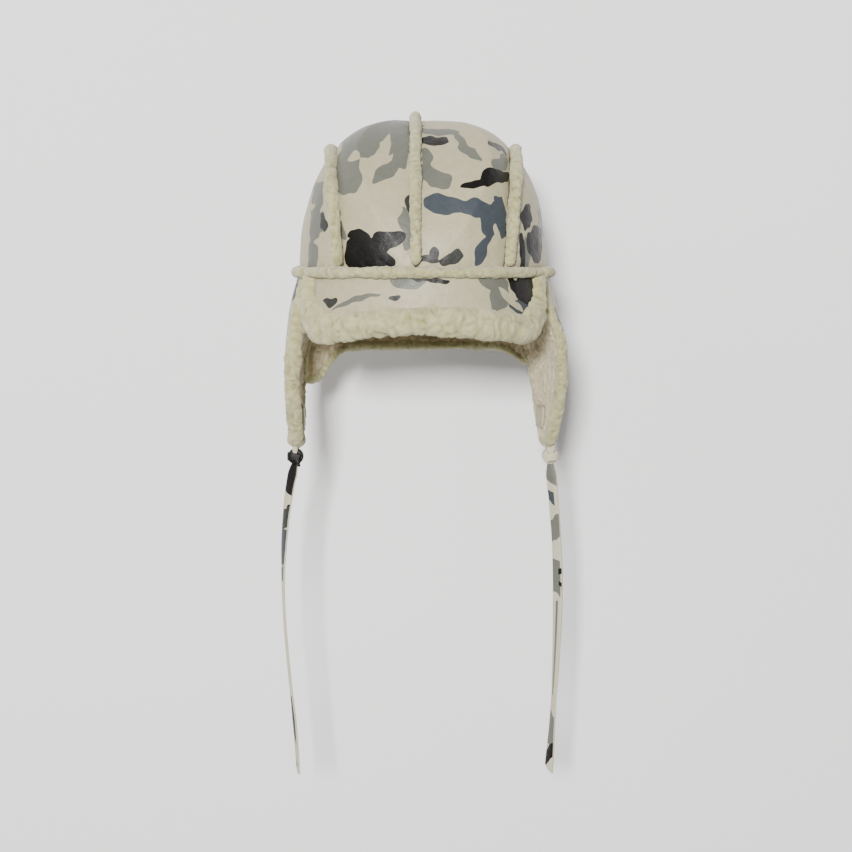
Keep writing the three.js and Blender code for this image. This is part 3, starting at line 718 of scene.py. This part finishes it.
def fleece_sheet(name, surface, seed, *args, depth=LINING, inward=-2.2, **options):
    """A lining: its pile fills the depth behind a leather skin, and rounds off at its borders."""
    n = normals(surface)
    edge = edge_distance(surface)
    height = curls(surface, seed)
    rounded = np.sqrt(np.clip(1 - (1 - np.clip(edge / 3.5, 0, 1)) ** 2, 0, 1))
    reach = (
        (depth - CURL_ROOM) * (0.35 + 0.65 * rounded)
        + CURL_HEIGHT * height * (0.4 + 0.6 * rounded)
        + 1.2 * noise(surface, 18, seed + 50)
    )
    front = surface + n * (inward - reach)[..., None]
    return plate(name, front, surface + n * inward, *args, pile=height, **options)


# ---------------------------------------------------------------- crown


def crown_surfaces(side, rows, columns):
    """The outer faces of a side's top panel and side panel."""
    u, v = grid(rows, columns)
    angle = v * math.pi
    inside, outside = centre_x(angle) + side * SEAM_SLOT, side * (seam_x(angle) - SEAM_SLOT)
    top = crown_point(mix(inside, outside, u), angle)
    inner = np.arcsin((seam_x(angle) + SEAM_SLOT) / CROWN_HALF_WIDTH)
    outer = math.asin(0.998)
    flank = crown_point(side * CROWN_HALF_WIDTH * np.sin(mix(inner, outer, u)), angle)
    return {"top": top, "side": flank}


def make_crown(leather, lining, welt):
    for index, (label, side) in enumerate(SIDES.items()):
        for number, (part, surface) in enumerate(crown_surfaces(side, 56, 230).items()):
            seed = 100 + 20 * index + 7 * number
            shift = (260 * index, 170 * number, 90 * index)
            piece = leather_sheet(
                f"leather_{part}_{label}", surface, seed, leather, "crown", [f"crown_{part}_{label}"],
                shift=shift, held="stretched",
            )
        for number, (part, surface) in enumerate(crown_surfaces(side, 52, 190).items()):
            seed = 300 + 20 * index + 7 * number
            piece = fleece_sheet(
                f"fleece_lining_{part}_{label}", surface, seed, lining, "crown",
                [f"crown_{part}_lining_{label}"],
            )
        make_crown_welt(
            f"side_welt_{label}", f"side_seam_welt_{label}", lambda a: side * seam_x(a), 500 + index, welt,
        )
    make_crown_welt("centre_welt", "centre_seam_welt", centre_x, 510, welt)
    meet = FRONT_END - WELT_MEETING
    make_foot_welt("brow_welt", "brow_seam_welt", np.linspace(-meet, meet, 300), 520, welt)
    make_foot_welt("nape_welt", "nape_seam_welt", np.linspace(meet, 2 * math.pi - meet, 560), 530, welt)


def make_crown_welt(name, node, x_at, seed, welt):
    angle = np.linspace(0.035, math.pi - 0.035, 420)
    centres = crown_point(x_at(angle), angle)
    up = crown_normal(centres)
    across = unit(np.cross(np.gradient(centres, axis=0), up))
    piece = fleece_tube(
        name, centres + up * 2.8, across, up, 3.1, 4.0, 1.7, seed, welt, "crown", [node], clump=5.5,
    )


def make_foot_welt(name, node, bearing, seed, welt):
    centres = foot_point(bearing, 0, 0)
    out = foot_normal(centres)
    centres = centres + out * (2.2 + 0.6 * noise(centres, 24, seed)[:, None])
    across = np.broadcast_to((0.0, 0.0, 1.0), out.shape)
    piece = fleece_tube(name, centres, across, out, 3.0, 4.0, 1.7, seed, welt, "crown", [node], clump=5.5)


# ---------------------------------------------------------------- flaps


def folds(piece):
    """Bakes the piece's placement into its mesh."""
    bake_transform(piece)


def make_front_flap(leather, lining, welt):
    u, v = grid(150, 30)
    side = 1 - WINDOW_SIDE / 100 + 0.03
    across = mix(-side, side, u)
    foot = front_drop(across * 0.9) - WINDOW_FOOT + 5
    window = front_point(across, mix(1.5, foot, v), 1.0)
    piece = leather_sheet("front_window", window, 600, leather, None, ["front_flap_window"], relief=0.8)
    folds(piece)

    u, v = grid(170, 52)
    across = mix(-1, 1, u)
    surface = front_point(across, mix(0.5, front_drop(across) - 1, v), 0)
    piece = fleece_sheet("front_lining", surface, 610, lining, None, ["front_flap_lining"], inward=-0.8)
    folds(piece)

    # The border runs down one side, round the corner, along the foot and up the other side. It is laid out
    # flat, across in millimetres and down, and then bent onto the flap.
    reach = 108
    foot = [(a * reach, front_drop(a) - 9.5) for a in np.linspace(-0.86, 0.86, 25)]
    flat = [(-0.955 * reach, 0), (-0.95 * reach, 24), *foot, (0.95 * reach, 24), (0.955 * reach, 0)]
    path = resample(flat, 0.75, soften=9)
    centres = front_point(path[:, 0] / reach, path[:, 1], 0.5)
    beside = front_point(path[:, 0] / reach + 0.005, path[:, 1], 0.5)
    below = front_point(path[:, 0] / reach, path[:, 1] + 0.5, 0.5)
    out = unit(np.cross(below - centres, beside - centres))
    out = out * np.sign((out * foot_normal(centres)).sum(-1, keepdims=True))
    across = unit(np.cross(np.gradient(centres, axis=0), out))
    level = smooth((path[:, 1] - 14) / 20)
    half_width = mix(5.2, 9.0, level) + 1.0 * noise(centres, 19, 621)
    half_height = mix(4.8, 6.2, level) + 0.7 * noise(centres, 15, 622)
    piece = fleece_tube(
        "front_border", centres, across, out, half_width, half_height, 3.3, 620, welt, None,
        ["front_flap_border"], around=64, clump=9.0,
    )
    folds(piece)


def make_neck_flap(leather, lining, welt):
    start = NECK_START - NECK_TUCK
    u, v = grid(150, 56)
    bearing = mix(start, 2 * math.pi - start, u)
    surface = neck_point(bearing, mix(-0.5, neck_drop(bearing), v), 0)
    piece = leather_sheet(
        "neck_shell", surface, 700, leather, None, ["neck_flap_shell"], shift=(90, 40, 300),
    )
    folds(piece)
    u, v = grid(190, 72)
    bearing = mix(start, 2 * math.pi - start, u)
    surface = neck_point(bearing, mix(-0.5, neck_drop(bearing), v), 0)
    piece = fleece_sheet("neck_lining", surface, 710, lining, None, ["neck_flap_lining"])
    folds(piece)

    # The edge is laid out flat too: round the head in millimetres, and down
    reach = 104
    bearing = np.linspace(start - 0.02, 2 * math.pi - start + 0.02, 60)
    flat = np.stack([(bearing - math.pi) * reach, neck_drop(bearing) - 2.5], -1)
    path = resample(flat, 0.8, soften=6)
    centres = neck_point(path[:, 0] / reach + math.pi, path[:, 1], -4.5)
    out = foot_normal(centres)
    across = unit(np.cross(np.gradient(centres, axis=0), out))
    piece = fleece_tube(
        "neck_edge", centres, across, out, 3.4, 6.0, 2.2, 720, welt, None, ["neck_flap_edge"],
    )
    folds(piece)


def ear_surface(side, rows, columns, twist):
    outline = ear_outline()
    turn = len(outline) // 2
    front, rear = outline[:turn], outline[turn:][::-1]
    u, v = grid(rows, columns)
    z = mix(0, EAR_TIP - 0.5, v)
    y = mix(np.interp(-z, -front[:, 1], front[:, 0]), np.interp(-z, -rear[:, 1], rear[:, 0]), u)
    return np.stack([side * ear_x(y, z, twist), y, z], -1)


def make_ear_flap(label, side, leather, lining, welt, lace):
    body = f"ear_flap_{label}"
    seed = 800 + 50 * (side > 0)
    twist = EAR_TWISTS[label]
    shell = leather_sheet(
        f"ear_shell_{label}", ear_surface(side, 62, 90, twist), seed, leather, None,
        [f"ear_flap_shell_{label}"], relief=0.9, shift=(140 * side, 60, 220),
    )
    folds(shell)
    pad = fleece_sheet(
        f"ear_lining_{label}", ear_surface(side, 80, 118, twist), seed + 10, lining, None,
        [f"ear_flap_lining_{label}"],
    )
    folds(pad)

    path = ear_outline()
    along = unit(np.gradient(path, axis=0))
    away = np.stack([np.zeros(len(path)), along[:, 1], -along[:, 0]], -1)
    away = away * np.sign((away[:, 1:] * (path - (0, -60))).sum())
    across = side * (ear_x(path[:, 0], path[:, 1], twist) - 5.2)
    centres = np.stack([across, path[:, 0], path[:, 1]], -1) + away * 1.2
    across = np.broadcast_to((float(side), 0.0, 0.0), away.shape)
    wide = EAR_RIMS[label] + 0.5 * noise(centres, 17, seed + 20)
    edge = fleece_tube(
        f"ear_edge_{label}", centres, across, away, wide, 4.4, 2.3, seed + 20, welt, None,
        [f"ear_flap_edge_{label}"], around=44, clump=6.5,
    )
    folds(edge)
    make_tie_fittings(label, side, body, leather, lace)


# ---------------------------------------------------------------- ties

# How far each tie has turned about its own length, as (height, degrees). At 0 its print faces the front.
TIE_TURNS = {
    "right": [
        (-151, 30), (-177, 44), (-196, 56), (-221, 66), (-236, 78),
        (-266, 85), (-338, 84), (-362, 74), (-404, 78),
    ],
    "left": [
        (-151, 26), (-170, 36), (-200, 42), (-265, 40), (-298, 56),
        (-331, 68), (-347, 76), (-370, 68), (-392, 56), (-404, 50),
    ],
}


def rounded_section(count, squareness):
    """A section's points from -1 to 1 both ways: a box with rounded corners."""
    turn = np.linspace(0, 2 * math.pi, count, endpoint=False)
    c, s = np.cos(turn), np.sin(turn)
    return np.sign(c) * np.abs(c) ** squareness, np.sign(s) * np.abs(s) ** squareness


def make_tie(label, side, lace, wraps):
    """A flat lace that hangs from its knot, a little twisted, cupped across and cut off at a slant."""
    route = [(side * x, y, z) for x, y, z in TIE_ROUTES[label]]
    path = resample([(side * TIE_PIVOT_X, 0, TIE_PIVOT_Z - 4), *route], 0.7, soften=16)
    tangent = unit(np.gradient(path, axis=0))
    heights, turns = zip(*reversed(TIE_TURNS[label]))
    turn = np.radians(np.interp(path[:, 2], heights, turns))[:, None]
    sideways = unit(np.cross(np.cross(tangent, (1.0, 0, 0)), tangent))
    frontways = np.cross(sideways, tangent)
    frontways = frontways * np.sign(-frontways[:, 1:2])
    across = np.cos(turn) * sideways + np.sin(turn) * frontways
    face = np.cos(turn) * frontways - np.sin(turn) * sideways
    a, b = rounded_section(36, 0.45)
    down = np.linspace(0, 1, len(path))[:, None]
    gathered = mix(0.55, 1, smooth(down / 0.05))
    width = TIE_WIDTH / 2 * gathered + 0.25 * noise(path, 13, 40 + side)[:, None]
    cup = 0.7 * noise(path, 38, 44 + side)[:, None] + 0.5
    slant = 3 * smooth((down - 0.985) / 0.015)
    rings = (
        path[:, None, :]
        + across[:, None, :] * (a * width)[..., None]
        + face[:, None, :] * (b * TIE_THICKNESS / 2 + cup * (0.5 - a**2))[..., None]
        + tangent[:, None, :] * (a * slant)[..., None]
    )
    plain = 10 * (b < 0.6)
    prints = np.stack(np.broadcast_arrays(a * TIE_WIDTH / 2, plain, path[:, 2:]), -1).reshape(-1, 3)
    piece = tube(f"tie_lace_{label}", rings, lace, f"tie_{label}", [f"tie_strap_{label}"], prints=prints)


def make_knot(label, side, lace):
    """The lace's top end: three turns round the loop's bar and a band across them, and on the right an end
    that sticks out. Returns its pieces."""
    turn = np.linspace(-0.4 * math.pi, 5.9 * math.pi, 260)
    along = np.linspace(-3.3, 3.3, len(turn))
    out = np.stack([np.cos(turn), 0 * turn, np.sin(turn)], -1)
    centres = (side * TIE_PIVOT_X, 0, TIE_PIVOT_Z) + out * 4.35 + along[:, None] * np.array((0, 1, 0))
    a, b = rounded_section(20, 0.6)
    ends = np.minimum(np.arange(len(turn)), np.arange(len(turn))[::-1])
    thin = mix(0.5, 1, smooth(ends / 14))[:, None]
    half_width = 2.0 + 0.25 * noise(centres, 3, 60 + side)[:, None]
    rings = (
        centres[:, None, :]
        + np.array((0, 1.0, 0)) * (a * half_width * thin)[..., None]
        + out[:, None, :] * (b * 2.0 * thin)[..., None]
    )
    knot = tube(
        f"tie_wrap_{label}", rings, lace, f"tie_knot_{label}", [f"tie_knot_{label}"],
        prints=solid(rings, side),
    )

    # The lace crosses in front of the loop's legs and comes round on the outward side, clear of their swing
    crossing = [
        (5.4, -3.5, 0.4), (5.7, -7.6, 0.6), (4.0, -10.4, 0.7), (0, -10.7, 0.4), (-3.6, -10.4, -0.6),
    ]
    stub = [(0.5, -10.5, -1.5), (2.6, -10.7, -2.7), (3.4, -10.5, -4.6), (2.8, -10.0, -6.8)]
    band = resample([(side * x, y, z) for x, y, z in crossing], 0.3, soften=3)
    turns = [("band", band, 3.3)]
    if label == "right":
        turns.append(("end", resample(stub, 0.4, soften=2), 1.5))
    wraps = [knot]
    for name, centres, half in turns:
        tangent = unit(np.gradient(centres, axis=0))
        out = unit(np.cross(tangent, (0, 0, 1.0)))
        across = np.cross(out, tangent)
        at = centres + (side * TIE_PIVOT_X, 0, TIE_PIVOT_Z)
        width = half + 0.3 * noise(at, 4, 64 + side)[:, None]
        rings = (
            at[:, None, :]
            + across[:, None, :] * (a * width)[..., None]
            + out[:, None, :] * (b * 0.85)[..., None]
        )
        piece = tube(
            f"tie_{name}_{label}", rings, lace, f"tie_knot_{label}", [f"tie_knot_{label}"],
            prints=solid(rings, side),
        )
        wraps.append(piece)
    return wraps


def solid(rings, side):
    """Where a tie's small parts take their colour: the right one's dark top end, the left one's pale back."""
    blank = np.zeros(rings.shape[:2])
    return np.stack([blank, blank + 10 * (side > 0), blank - 160], -1).reshape(-1, 3)


def make_tie_fittings(label, side, body, leather, lace):
    """The thin loop at the flap's tip that a tie knots round, and the leather patch inside that holds it."""
    top = EAR_TIP - 4.5
    corners = [(-7.5, top), (-7.5, TIE_PIVOT_Z), (7.5, TIE_PIVOT_Z), (7.5, top)]
    path = resample([(side * TIE_PIVOT_X, y, z) for y, z in corners], 0.4, soften=1.6)
    tangent = unit(np.gradient(path, axis=0))
    turn = np.linspace(0, 2 * math.pi, 18, endpoint=False)[None, :, None]
    out = np.cross(tangent, (1.0, 0, 0))[:, None, :]
    wide = mix(1.4, LOOP_TABS[label], smooth((path[:, 2] - TIE_PIVOT_Z - 2) / 4))[:, None, None]
    rings = path[:, None, :] + np.array((1.0, 0, 0)) * wide * np.cos(turn) + out * 1.4 * np.sin(turn)
    loop = tube(f"tie_ring_{label}", rings, lace, body, [f"tie_loop_{label}"], prints=solid(rings, 1))

    u, v = grid(34, 38)
    a, b = u * 2 - 1, v * 2 - 1
    corner = 1 - 0.12 * (a * b) ** 4
    y, z = PATCH_HALF_WIDTH * a * corner, PATCH_Z + PATCH_HALF_HEIGHT * b * corner
    edge = np.minimum(PATCH_HALF_WIDTH - np.abs(y), PATCH_HALF_HEIGHT - np.abs(z - PATCH_Z))
    stitches = 0.35 * np.exp(-((edge - 1.8) / 0.5) ** 2) * np.cos((y + z) * 2.6) ** 2
    outer = side * ear_x(y, z, EAR_TWISTS[label])
    inside = outer - side * (11.9 + 0.5 * np.sqrt(np.clip(edge / 2, 0, 1)) + stitches)
    front = np.stack([inside, y, z], -1)
    back = np.stack([outer - side * 10.4, y, z], -1)
    patch = plate(
        f"tie_anchor_{label}", front, back, leather, body, [f"tie_patch_{label}"], shift=(50, 70, 130),
    )


# ---------------------------------------------------------------- the hat

make_camera()
laces = {label: tie_material(label) for label in SIDES}
for label, side in SIDES.items():
    make_tie(label, side, laces[label], make_knot(label, side, laces[label]))
make_stage()
leather = camo_material()
# each fleece's first colour is the painted shade deep in its creases, then its middle and tip colours
seam_fleece = fleece_material("seam_fleece", (0.21, 0.185, 0.065), (0.37, 0.345, 0.165), (0.50, 0.47, 0.25))
lining_fleece = fleece_material("lining_fleece", (0.30, 0.24, 0.13), (0.50, 0.42, 0.25), (0.64, 0.55, 0.35))
make_crown(leather, lining_fleece, seam_fleece)
make_front_flap(leather, lining_fleece, seam_fleece)
make_neck_flap(leather, lining_fleece, seam_fleece)
for label, side in SIDES.items():
    make_ear_flap(label, side, leather, lining_fleece, seam_fleece, laces[label])
